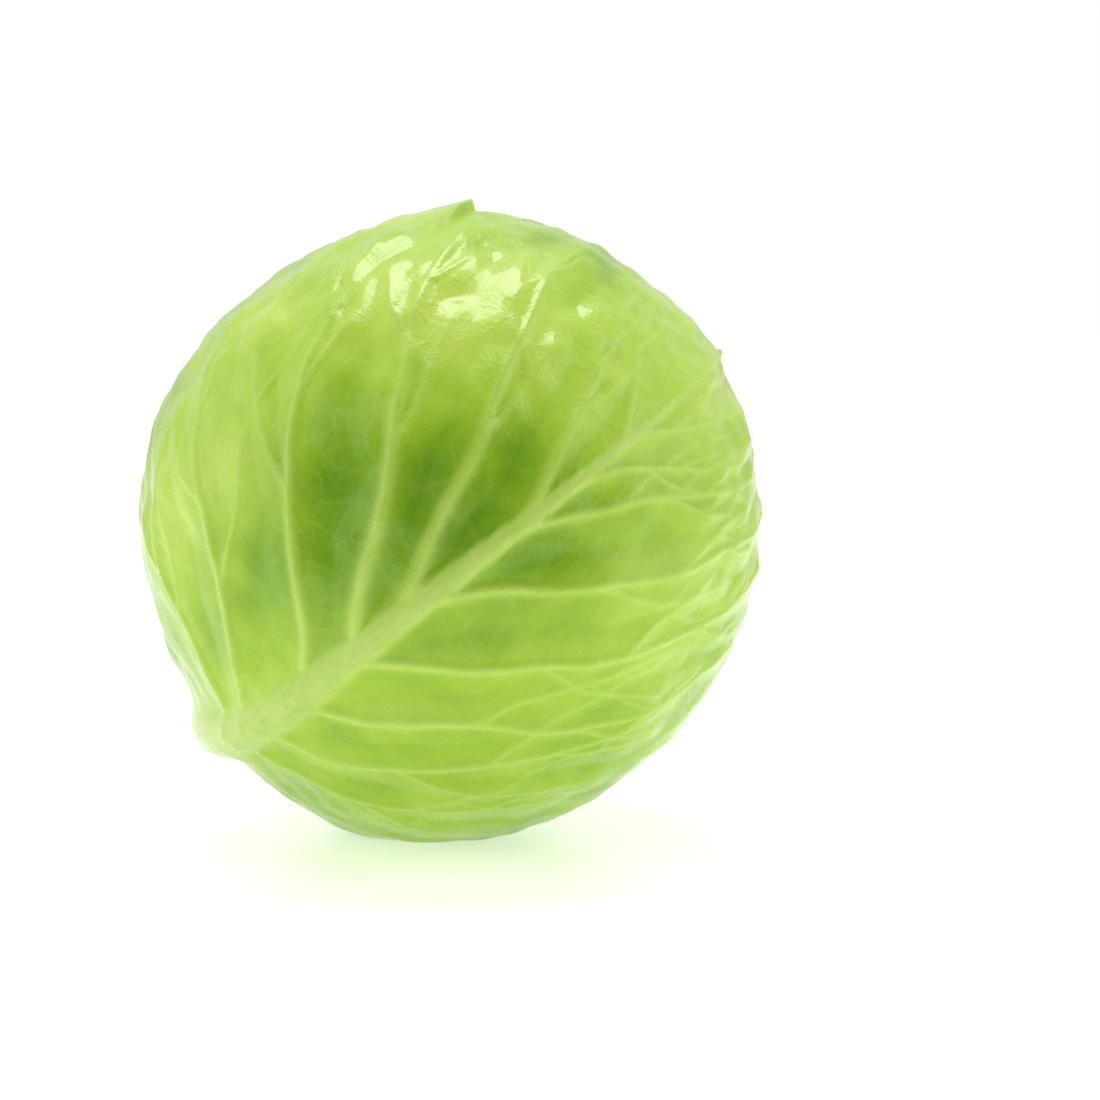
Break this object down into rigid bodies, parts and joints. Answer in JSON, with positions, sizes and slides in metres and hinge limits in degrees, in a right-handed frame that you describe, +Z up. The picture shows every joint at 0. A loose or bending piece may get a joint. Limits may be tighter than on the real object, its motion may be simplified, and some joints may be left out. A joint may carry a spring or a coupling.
{
  "type": "cabbage head",
  "caption": "Round green cabbage head with a cut stump and broad overlapping wrapper leaves, lying tilted on its side.",
  "frame": {"origin": "middle of the flat spot that the head rests on, straight below the head's centre", "axes": "+Z up; -Y towards the front, where the outermost leaf's midrib is; the core climbs from the stump, low at -X and a little towards +Y, to the crown at +X and +Z"},
  "size_m": [0.1693, 0.1665, 0.17],
  "materials": {
    "leaf_green": "waxy, slightly glossy yellow-green leaf with pale veins",
    "inner_leaf": "pale yellow-green leaf, satin",
    "heart_leaf": "pale yellow leaf, satin",
    "stump": "cream, moist and fibrous where cut"
  },
  "bodies": {
    "root": {"core": "stump", "heart": "heart_leaf", "wrapper_leaf_front": "leaf_green", "wrapper_leaf_back": "leaf_green", "wrapper_leaf_under": "leaf_green", "inner_leaf_01": "inner_leaf", "inner_leaf_02": "inner_leaf", "inner_leaf_03": "inner_leaf", "inner_leaf_04": "inner_leaf", "inner_leaf_05": "inner_leaf", "inner_leaf_06": "inner_leaf", "inner_leaf_07": "inner_leaf", "inner_leaf_08": "inner_leaf", "inner_leaf_09": "inner_leaf", "inner_leaf_10": "inner_leaf", "inner_leaf_11": "inner_leaf", "inner_leaf_12": "inner_leaf"}
  },
  "joints": []
}
